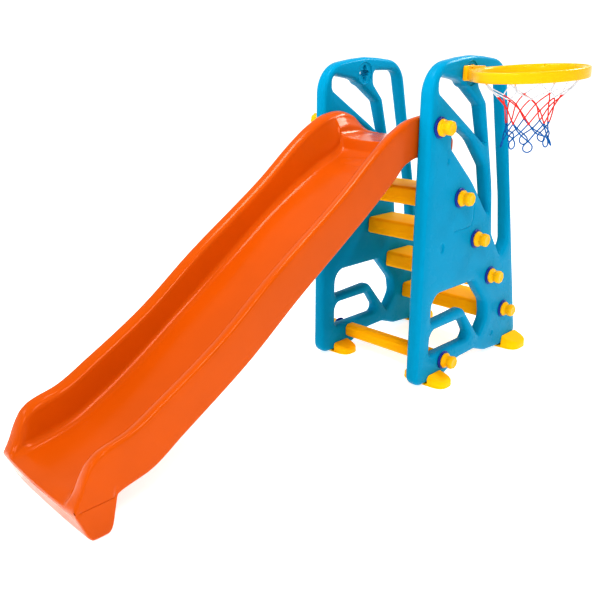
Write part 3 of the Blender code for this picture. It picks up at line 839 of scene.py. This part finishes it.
def make_steps():
    """The ladder's steps, each with a parting line round its edge."""
    front, back, top, bottom = -0.065, 0.105, 0.025, -0.045
    seam, ridge = -0.012, 0.0007
    corners = (
        (front, bottom + 0.004, 0.014),
        (back, bottom, 0.014),
        (back, seam - 0.0015, 0.0005),
        (back + ridge, seam, 0.0005),
        (back, seam + 0.0015, 0.0005),
        (back, top, 0.014),
        (front + 0.004, top, 0.014),
        (front + 0.002, seam + 0.0015, 0.0005),
        (front + 0.002 - ridge, seam, 0.0005),
        (front + 0.002, seam - 0.0015, 0.0005),
    )
    for k in range(STEP_COUNT):
        place = Vector(step_fixing(k))
        outline = [p + place for p in divided(rounded(corners), 0.02)]
        name = f"step_{k + 1}"
        piece("tread_" + name, bar_mesh(name, outline, 0.004), "frame", "step_plastic", [name])


def make_cross_bar():
    """Chamfered square bar near the floor."""
    half, chamfer = 0.0265, 0.011
    flat = half - chamfer
    sides = [(half, flat), (flat, half)]
    corners = [(sy * y, sz * z, 0.005) for y, z in sides for sy in (-1, 1) for sz in (-1, 1)]
    corners.sort(key=lambda corner: math.atan2(corner[1], corner[0]))
    outline = [p + Vector(BAR_FIXING) for p in rounded(corners)]
    piece("tie_bar", bar_mesh("tie_bar", outline, 0.003), "frame", "step_plastic", ["cross_bar"])


FOOT_REACH = 0.324
FOOT_ROUNDNESS = 3.0
FOOT_FLANGE = 0.0016
FOOT_FLANGE_TOP = 0.0055
FOOT_SHOULDER = 0.011
FOOT_NOSE = 0.010
FOOT_TIP_SHARE = 0.996
# front, back, height at the panel, height at the nose, sole thickness at the front and at the back
FRONT_FOOT = (-0.022, 0.070, 0.040, 0.024, 0.0065, 0.0065)
REAR_FOOT = (0.512, 0.632, 0.053, 0.030, 0.0075, 0.0170)


def foot_outline(foot, share, drop):
    """Section of a foot at a share of its reach: a round-shouldered block on a thin flange."""
    front, back, high, low = foot[:4]
    half = (back - front) / 2 * (1 - share**FOOT_ROUNDNESS) ** (1 / FOOT_ROUNDNESS)
    near, far = (front + back) / 2 - half, (front + back) / 2 + half
    top = high + share * (low - high) - drop
    step = min(FOOT_FLANGE, 0.1 * half)
    flange = FOOT_FLANGE_TOP
    return rounded((
        (near, 0, 0.0012), (far, 0, 0.0012), (far, flange, 0.0010), (far - step, flange + step, 0.0010),
        (far - step, top, FOOT_SHOULDER), (near + step, top, FOOT_SHOULDER),
        (near + step, flange + step, 0.0010), (near, flange, 0.0010),
    ))


def foot_mesh(name, foot):
    """Saddle foot: a round-nosed block on each side of the panel, joined by a sole under it."""
    front, back, high, _, sole_front, sole_back = foot
    slot_low = PANEL_INNER_X - GAP
    slot_high = PANEL_OUTER_X + GAP
    run = FOOT_REACH - slot_high
    side = [(0.0, foot_outline(foot, 0.0, 0.0016)), (0.0012, foot_outline(foot, 0.0, 0.0))]
    for k in range(1, 25):
        share = FOOT_TIP_SHARE * (1 - (1 - k / 24) ** 1.6)
        left = run * (1 - share / FOOT_TIP_SHARE)
        drop = FOOT_NOSE * (1 - sqrt(max(0.0, 1 - max(0.0, 1 - left / FOOT_NOSE) ** 2)))
        side.append((run - left, foot_outline(foot, share, drop)))
    sole = []
    for p in side[1][1]:
        thick = sole_front + (sole_back - sole_front) * (p.x - front) / (back - front)
        sole.append(Vector((p.x, p.y * thick / high)))
    sections = [(slot_low - depth, outline) for depth, outline in reversed(side)]
    sections += [(slot_low, sole), (slot_high, sole)]
    sections += [(slot_high + depth, outline) for depth, outline in side]
    return solid_along_x(name, sections)


def make_feet():
    """Four saddle feet under the panels' corners."""
    for end, foot in (("front", FRONT_FOOT), ("rear", REAR_FOOT)):
        right = foot_mesh(f"foot_{end}", foot)
        for side, data in (("right", right), ("left", mirrored(f"foot_{end}_left", right))):
            name = f"foot_{end}_{side}"
            piece("saddle_" + name, data, "frame", "foot_plastic", [name])


# ---------------------------------------------------------------- hand screws

WASHER_THICKNESS = 0.007
THREAD_PITCH = 0.008
THREAD_RINGS = 78
STEM_RADIUS = 0.0078
SCREW_REACH = 0.030
SCREW_STOP = 6.3
GRIP_LOBES = 8
# The screw outside its washer, as (depth, radius, lobe), and the washer, as (radius, x).
GRIP = (
    (0.0, 0.0268, 0.0002), (0.0012, 0.0282, 0.0004), (0.0045, 0.0287, 0.0005), (0.0075, 0.0281, 0.0005),
    (0.0098, 0.0264, 0.0005), (0.0115, 0.0240, 0.0005), (0.0132, 0.0219, 0.0005), (0.0155, 0.0208, 0.0006),
    (0.0180, 0.0208, 0.0008), (0.0210, 0.0218, 0.0010), (0.0240, 0.0230, 0.0011), (0.0275, 0.0236, 0.0011),
    (0.0325, 0.0239, 0.0011), (0.0368, 0.0236, 0.0011), (0.0398, 0.0226, 0.0011), (0.0420, 0.0208, 0.0010),
    (0.0430, 0.0178, 0.0007), (0.0428, 0.0150, 0.0004), (0.0418, 0.0122, 0.0), (0.0414, 0.0060, 0.0),
    (0.0414, 0.0010, 0.0),
)
WASHER = (
    (0.0118, 0.0006), (0.0124, 0.0), (0.0340, 0.0), (0.0351, 0.0008), (0.0355, 0.0022), (0.0353, 0.0036),
    (0.0345, 0.0050), (0.0332, 0.0058), (0.0318, 0.0060), (0.0306, 0.0058), (0.0300, 0.0062),
    (0.0292, 0.0068), (0.0280, 0.0070), (0.0150, 0.0070), (0.0124, 0.0070), (0.0118, 0.0064),
)


def turned(name, rings, count):
    """Solid about X from rings (x, radius, lobe depth, lobes, thread), closed at both ends."""
    sections = []
    for x, radius, lobe, lobes, thread in rings:
        outline = []
        for k in range(count):
            a = 2 * pi * k / count
            r = radius + lobe * cos(lobes * a)
            if thread:
                phase = (x / THREAD_PITCH + k / count) % 1.0
                r -= thread * abs(2 * phase - 1) ** 0.8
            outline.append(Vector((r * cos(a), r * sin(a))))
        sections.append((x, outline))
    return solid_along_x(name, sections)


def knob_mesh():
    """Hand screw: threaded stem, lobed flange, waist and lobed grip with a dished end."""
    face = WASHER_THICKNESS + GAP
    tip = SPAN_HALF - SCREW_REACH - (PANEL_OUTER_X + GAP)
    rings = [(tip, 0.0060, 0, 1, 0), (tip + 0.0012, STEM_RADIUS, 0, 1, 0)]
    for k in range(THREAD_RINGS + 1):
        x = tip + 0.002 + (face - 0.001 - tip - 0.002) * k / THREAD_RINGS
        fade = min(1.0, k / 6)
        rings.append((x, STEM_RADIUS + 0.0021 * fade, 0, 1, 0.0020 * fade))
    rings += [(face + depth, radius, lobe, GRIP_LOBES, 0) for depth, radius, lobe in GRIP]
    return turned("knob", rings, 48)


def washer_mesh():
    """Dished washer with a rounded rim and a raised lip round its bore."""
    work = bmesh.new()
    loops = [ring_of_verts(work, circle((0, 0), radius, 64), x) for radius, x in WASHER]
    join_all(work, loops + loops[:1])
    return finish_mesh("washer", work)


def make_screws():
    """All hand screws and their washers."""
    knob, washer = knob_mesh(), washer_mesh()
    seat = PANEL_OUTER_X + GAP
    sides = (("right", seat, knob, washer),
             ("left", -seat, mirrored("knob_left", knob), mirrored("washer_left", washer)))
    for label, (y, z) in fixings():
        for side, x, grip, ring in sides:
            where = f"{label}_{side}"
            place = Vector((x, y, z))
            handle = grip.copy()
            handle.transform(Matrix.Rotation(SCREW_STOP * (y + z), 4, "X"))
            for prefix, node_name, slot, data in (("screw_", "knob_" + where, "knob_plastic", handle),
                                                  ("seal_", "washer_" + where, "washer_plastic", ring)):
                piece(prefix + where, moved(data, place), node_name, slot, [node_name])


# ---------------------------------------------------------------- hoop and net

RING_COUNT = 128
# The band's section, as (step in from the outer radius or out from the inner one, height).
RING_OUTSIDE = (
    (0.0035, -0.0165), (0.0012, -0.0155), (0.0002, -0.0130), (0, -0.0050), (0, 0.0090), (0.0003, 0.0128),
    (0.0010, 0.0148), (0.0022, 0.0160), (0.0036, 0.0165), (0.0062, 0.0165), (0.0074, 0.0160),
    (0.0080, 0.0148), (0.0088, 0.0134), (0.0150, 0.0134), (0.0160, 0.0146),
)
RING_INSIDE = (
    (0.0036, 0.0154), (0.0010, 0.0130), (0, 0.0100), (0, -0.0100), (0.0004, -0.0140), (0.0022, -0.0162),
    (0.0050, -0.0165),
)
# A net hook's middle line in the hoop, as (radius, height, radius of the hook).
HOOK = (
    (0.1600, -0.0120, 0.0026), (0.1560, -0.0128, 0.0026), (0.1525, -0.0145, 0.0025),
    (0.1505, -0.0180, 0.0024), (0.1490, -0.0215, 0.0023), (0.1465, -0.0235, 0.0022),
    (0.1440, -0.0225, 0.0021), (0.1430, -0.0195, 0.0016),
)
# The neck's rolled edge, as (height, inset).
NECK_LEVELS = (
    (-0.0162, 0.002), (-0.0156, 0.0006), (-0.0142, 0), (0.0142, 0), (0.0156, 0.0006), (0.0162, 0.002),
)
# A hanging loop at the hem, as shares of its half width and of its height.
HEM_LOOP = ((0.55, 0.18), (1.0, 0.48), (0.80, 0.83), (0.0, 1.0), (-0.80, 0.83), (-1.0, 0.48))
# Rows of the net: radius, height from the hoop's middle, and where the knots lie, in hook spacings.
NET_ROWS = (
    (0.1500, -0.0175, 0.0), (0.1320, -0.0400, 0.0), (0.0970, -0.0710, 0.5), (0.0760, -0.1060, 0.0),
    (0.0640, -0.1500, 0.5), (0.0660, -0.1760, 0.0), (0.0690, -0.1960, 0.5),
)


def hoop_axis():
    """The hoop's own upward axis."""
    return Vector((0.0, -sin(HOOP_ROLL), cos(HOOP_ROLL)))


def on_hoop(radius, angle, height):
    """A point of the hoop in the design axes from its own cylinder coordinates."""
    x, y = radius * cos(angle), radius * sin(angle)
    c, s = cos(HOOP_ROLL), sin(HOOP_ROLL)
    return HOOP_CENTRE + Vector((x, c * y - s * height, s * y + c * height))


def ring_mesh():
    """The hoop's band: a walled ring with chamfers, a groove on top and a lip inside."""
    section = [(HOOP_OUTER_RADIUS - step, height) for step, height in RING_OUTSIDE]
    section += [(HOOP_INNER_RADIUS + step, height) for step, height in RING_INSIDE]
    work = bmesh.new()
    turns = [2 * pi * k / RING_COUNT for k in range(RING_COUNT)]
    loops = [[work.verts.new(on_hoop(r, angle, h)) for r, h in section] for angle in turns]
    join_all(work, loops[-1:] + loops)
    return finish_mesh("ring", work)


def hoop_box(name, low, high, angle):
    """Small box in the hoop's cylinder coordinates: radius, width along the band, height."""
    work = bmesh.new()
    corners = []
    for height in (low[2], high[2]):
        for radius, across in ((low[0], low[1]), (high[0], low[1]), (high[0], high[1]), (low[0], high[1])):
            corners.append(work.verts.new(on_hoop(radius, angle + across / radius, height)))
    work.faces.new(corners[:4])
    work.faces.new(corners[4:])
    join_loops(work, corners[:4], corners[4:])
    return finish_mesh(name, work)


def hook_angle(index):
    """Angle of a net hook about the hoop."""
    return 2 * pi * (index + 0.25) / HOOK_COUNT


def joined(name, meshes):
    """Several meshes as one."""
    work = bmesh.new()
    for data in meshes:
        work.from_mesh(data)
    return finish_mesh(name, work)


def make_hoop():
    """Bracket with its star key, ring with neck, slots and hooks."""
    seat = PANEL_OUTER_X + GAP
    joint = seat + BRACKET_DEPTH
    centre = Vector((0, HOOP_CENTRE.y, HOOP_CENTRE.z))
    slots = [hoop_box("slot", (0.1535, -0.0012, 0.0110), (0.1655, 0.0012, 0.0200), hook_angle(k))
             for k in range(HOOK_COUNT)]
    band = combined("band", ring_mesh(), [("UNION", neck_mesh()), ("DIFFERENCE", joined("slots", slots))])
    pegs = [hook_mesh(k) for k in range(HOOK_COUNT)]
    band = combined("band", band, [("UNION", joined("pegs", pegs))])
    piece("hoop_band", band, "hoop", "hoop_plastic", ["hoop_ring"], 32)

    block = block_mesh("block", BRACKET_LENGTH, BRACKET_HEIGHT, seat, joint)
    star = lobed(STAR_MEAN_RADIUS - 0.0008, STAR_LOBE, 96)
    tip = PANEL_INNER_X + RECESS_DEPTH
    key = solid_along_x("key", [(tip, offset(star, -0.002)), (tip + 0.002, star), (seat + 0.004, star)])
    well = block_mesh("well", 0.009, 0.005, joint - 0.004, joint + 0.004)
    well.transform(Matrix.Translation((0, -0.031, 0.017)))
    bracket = combined("bracket", block, [("UNION", key), ("DIFFERENCE", well)])
    piece("hoop_block", moved(bracket, centre), "hoop", "hoop_plastic", ["hoop_bracket"], 32)


def neck_mesh():
    """Gusset between the bracket and the ring, with straight sides that run into the ring's circle."""
    face = PANEL_OUTER_X + 2 * GAP + BRACKET_DEPTH - HOOP_CENTRE.x
    half = NECK_LENGTH / 2
    spread = math.atan2(half, -face) + math.acos(HOOP_OUTER_RADIUS / math.hypot(face, half))
    middle = (HOOP_OUTER_RADIUS + HOOP_INNER_RADIUS) / 2
    arc = [(HOOP_OUTER_RADIUS - 0.001, spread)] + [(middle, spread * (1 - k / 12)) for k in range(25)]
    arc.append((HOOP_OUTER_RADIUS - 0.001, -spread))
    outline = [Vector((face, half)), Vector((face, -half))]
    outline += [Vector((-radius * cos(turn), -radius * sin(turn))) for radius, turn in arc]
    work = bmesh.new()
    loops = []
    for height, inset in NECK_LEVELS:
        loop = [on_hoop(p.length, math.atan2(p.y, p.x), height) for p in offset(outline, -inset)]
        loops.append([work.verts.new(p) for p in loop])
    skin(work, loops, triangles=True)
    return finish_mesh("neck", work)


def block_mesh(name, length, height, x_low, x_high):
    """Block across X with soft edges, centred on the hoop's socket."""
    w, h = length / 2, height / 2
    radius = min(0.009, h * 0.6)
    corners = [(sy * w, sz * h, radius) for sy, sz in ((-1, -1), (1, -1), (1, 1), (-1, 1))]
    outline = rounded(corners, radians(12))
    levels = end_levels(x_low, min(0.003, (x_high - x_low) / 4), 3)
    levels += [(x_low + x_high - x, inset) for x, inset in reversed(levels)]
    return solid_along_x(name, [(x, offset(outline, -inset)) for x, inset in levels])


def tube(name, centres, radii, count=12):
    """Round tube through centres with a radius at each, closed at its ends."""
    work = bmesh.new()
    loops = []
    side = None
    for k, (here, radius) in enumerate(zip(centres, radii)):
        along = (centres[min(k + 1, len(centres) - 1)] - centres[max(k - 1, 0)]).normalized()
        if side is None:
            side = along.orthogonal()
        side = (side - along * side.dot(along)).normalized()
        up = along.cross(side)
        turns = [2 * pi * j / count for j in range(count)]
        loops.append([work.verts.new(here + radius * (cos(a) * side + sin(a) * up)) for a in turns])
    skin(work, loops)
    return finish_mesh(name, work)


def hook_mesh(index):
    """Moulded hook under the ring's inner edge, which the cord hangs on."""
    angle = hook_angle(index)
    centres = [on_hoop(radius, angle, height) for radius, height, _ in HOOK]
    return tube("hook", centres, [thick for _, _, thick in HOOK], 10)


def net_knots():
    """Knot places, row by row, with the small unevenness of a hand-tied net."""
    chance = random.Random(11)
    rows = []
    for row, (radius, height, half) in enumerate(NET_ROWS):
        loose = 0.0 if row < 2 else 0.35 + 0.13 * row
        knots = []
        for column in range(HOOK_COUNT):
            angle = hook_angle(column + half)
            angle += loose * chance.uniform(-0.085, 0.085)
            knots.append((radius + loose * chance.uniform(-0.004, 0.004), angle,
                          height + loose * chance.uniform(-0.005, 0.005)))
        rows.append(knots)
    return rows


def strand_route(start, rows):
    """Control points of one cord: down one way round, a hanging loop, and up the same way round."""
    half_cord = 0.5 * CORD_DIAMETER

    def knot(row, column, side):
        radius, angle, height = rows[row][column % HOOK_COUNT]
        turns = 2 * pi * (column // HOOK_COUNT)
        return (radius + side * half_cord, angle + turns, height)

    down = [knot(0, start, 1), knot(1, start, 1), knot(2, start, 1), knot(3, start + 1, 1)]
    down += [knot(4, start + 1, 1), knot(5, start + 2, 1), knot(6, start + 2, 1)]
    up = [knot(6, start + 2, -1), knot(5, start + 3, -1), knot(4, start + 3, -1), knot(3, start + 4, -1)]
    up += [knot(2, start + 4, -1), knot(1, start + 5, -1), knot(0, start + 5, -1)]
    radius, angle, height = down[-1]
    chance = random.Random(40 + start)
    wide = chance.uniform(0.150, 0.200)
    tall = chance.uniform(0.027, 0.036)
    flare = chance.uniform(0.003, 0.014)
    lean = chance.uniform(-0.05, 0.05)
    loop = [(radius + flare * fallen, angle + wide * across + lean * fallen, height - tall * fallen)
            for across, fallen in HEM_LOOP]
    loop.append((radius + flare * 0.18 - half_cord, angle - wide * 0.55, height - tall * 0.18))
    return [on_hoop(*p) for p in down + loop + up]


def through(points, steps=8):
    """Smooth line through the points, as a centripetal Catmull-Rom curve."""
    ends = [points[0] * 2 - points[1]] + points + [points[-1] * 2 - points[-2]]
    line = []
    for a, b, c, d in zip(ends, ends[1:], ends[2:], ends[3:]):
        t1 = max((b - a).length ** 0.5, 1e-4)
        t2 = t1 + max((c - b).length ** 0.5, 1e-4)
        t3 = t2 + max((d - c).length ** 0.5, 1e-4)
        for k in range(steps):
            t = t1 + (t2 - t1) * k / steps
            ab = a.lerp(b, t / t1)
            bc = b.lerp(c, (t - t1) / (t2 - t1))
            cd = c.lerp(d, (t - t2) / (t3 - t2))
            abc = ab.lerp(bc, t / t2)
            bcd = bc.lerp(cd, (t - t1) / (t3 - t1))
            line.append(abc.lerp(bcd, (t - t1) / (t2 - t1)))
    return line + [points[-1]]


def make_net():
    """Net of eight cords, each from one hook down to the hem and up to another, with its knots."""
    rows = net_knots()
    for k in range(HOOK_COUNT):
        line = [p + SHIFT for p in through(strand_route(k, rows))]
        data = bpy.data.curves.new(f"net_cord_{k + 1}", "CURVE")
        data.dimensions = "3D"
        data.bevel_depth = CORD_DIAMETER / 2
        data.bevel_resolution = 2
        data.use_fill_caps = True
        spline = data.splines.new("POLY")
        spline.points.add(len(line) - 1)
        for point, place in zip(spline.points, line):
            point.co = (*place, 1.0)
        data.materials.append(FINISH["net_cord"])
        strand = placed(f"net_cord_{k + 1}", data)
        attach(strand, "hoop")
        if k == 0:
            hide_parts("net")
    wraps = [knot_mesh(*knot) for row in rows[2:] for knot in row]
    piece("net_knots", joined("net_knots", wraps), "hoop", "net_cord")


def knot_mesh(radius, angle, height):
    """Two turns of cord wrapped round a crossing."""
    turns, count, tall, reach = 2.2, 26, 0.0036, 0.0027
    centres = []
    for k in range(count):
        a = 2 * pi * turns * k / (count - 1)
        drop = tall * (k / (count - 1) - 0.5)
        side = reach * sin(a) / radius
        centres.append(on_hoop(radius + reach * cos(a), angle + side, height + drop))
    return tube("knot", centres, [0.0012] * count, 8)


# ---------------------------------------------------------------- stage, lights and camera

CAMERA_PLACE = (1.580, -2.007, 1.108)
CAMERA_DOWN = 18.275
CAMERA_TURN = 44.95
FLOOR_HALF = 30.0
WHITE = (1.0, 1.0, 1.0, 1.0)
# The surround's strength falls with height: from and to as a share of the sphere, strength below and above.
SURROUND = (0.10, 0.35, 1.05, 0.56)
# Area lights: name, place, target, (width, height), watts.
LIGHTS = (
    ("overhead", (-0.6, -0.3, 2.9), (-0.1, -0.1, 0.6), (0.9, 0.6), 28.0),
    ("behind", (0.5, 2.1, 2.5), (0.0, 0.1, 0.8), (1.3, 0.4), 34.0),
    ("front_left", (-1.8, -3.1, 2.4), (0.0, -0.2, 0.5), (1.0, 0.8), 14.0),
    ("front", (0.3, -3.5, 1.9), (0.1, 0.0, 0.6), (0.5, 1.0), 26.0),
    ("right", (1.5, -1.3, 2.6), (-0.1, -0.6, 0.5), (0.4, 1.4), 34.0),
)


def make_camera():
    """Camera with the slide seen from its front right, a little from above."""
    data = bpy.data.cameras.new("camera")
    data.lens = 41.496
    data.sensor_width = 36.0
    data.clip_end = 100.0
    camera = placed("camera", data)
    camera.location = Vector(CAMERA_PLACE) + SHIFT
    camera.rotation_euler = (radians(90 - CAMERA_DOWN), 0.0, radians(CAMERA_TURN))
    bpy.context.scene.camera = camera


def make_light(name, place, target, size, power):
    """Soft area light aimed at a point."""
    data = bpy.data.lights.new(name, "AREA")
    data.shape = "RECTANGLE"
    data.size, data.size_y = size
    data.energy = power
    light = placed(name, data)
    light.location = place
    light.rotation_euler = (Vector(target) - Vector(place)).to_track_quat("-Z", "Y").to_euler()


def make_stage():
    """Pale floor, soft studio light and a white surround."""
    work = bmesh.new()
    bmesh.ops.create_grid(work, x_segments=1, y_segments=1, size=FLOOR_HALF)
    data = bpy.data.meshes.new("floor")
    work.to_mesh(data)
    work.free()
    floor = placed("floor", data)
    floor.location.z = -0.0005
    pale = bpy.data.materials.new("floor_pale")
    pale.use_nodes = True
    matt = pale.node_tree.nodes["Principled BSDF"]
    fixed(matt, {"Base Color": (0.90, 0.90, 0.90, 1.0), "Roughness": 0.85})
    fixed(matt, {"Emission Color": WHITE, "Emission Strength": 0.55})
    data.materials.append(pale)
    world = bpy.data.worlds.new("surround")
    world.use_nodes = True
    tree = world.node_tree
    split = node(tree, "SeparateXYZ")
    tree.links.new(node(tree, "TexCoord").outputs["Generated"], split.inputs[0])
    background = tree.nodes["Background"]
    fixed(background, {"Color": WHITE})
    tree.links.new(ranged(tree, split.outputs["Z"], *SURROUND), background.inputs["Strength"])
    bpy.context.scene.world = world
    for light in LIGHTS:
        make_light(*light)
    bpy.context.scene.view_settings.view_transform = "Standard"
    bpy.context.scene.view_settings.look = "Medium High Contrast"


make_camera()
FINISH = {
    "chute_plastic": plastic("chute_orange", ORANGE, 0.17, 0.03, 0.24, 0.25, (1.0, 0.06, 0.06)),
    "panel_plastic": plastic("panel_blue", BLUE, 0.26, 0.06, 0.05),
    # The steps and the bar take the yellow with painted shade.
    "step_plastic": plastic("step_yellow", SHADED_STEP_YELLOW, 0.40, 0.10, 0.05),
    "foot_plastic": plastic("foot_yellow", YELLOW, 0.40, 0.10, 0.10),
    "knob_plastic": plastic("knob_yellow", HONEY, 0.28, 0.05, 0.25),
    "washer_plastic": plastic("washer_navy", NAVY, 0.26, 0.06, 0.40),
    "hoop_plastic": plastic("hoop_yellow", HONEY, 0.20, 0.03, 0.30),
    "net_cord": cord_material(),
}
make_net()
make_panels()
make_chute()
make_steps()
make_cross_bar()
make_feet()
make_screws()
make_hoop()
make_stage()
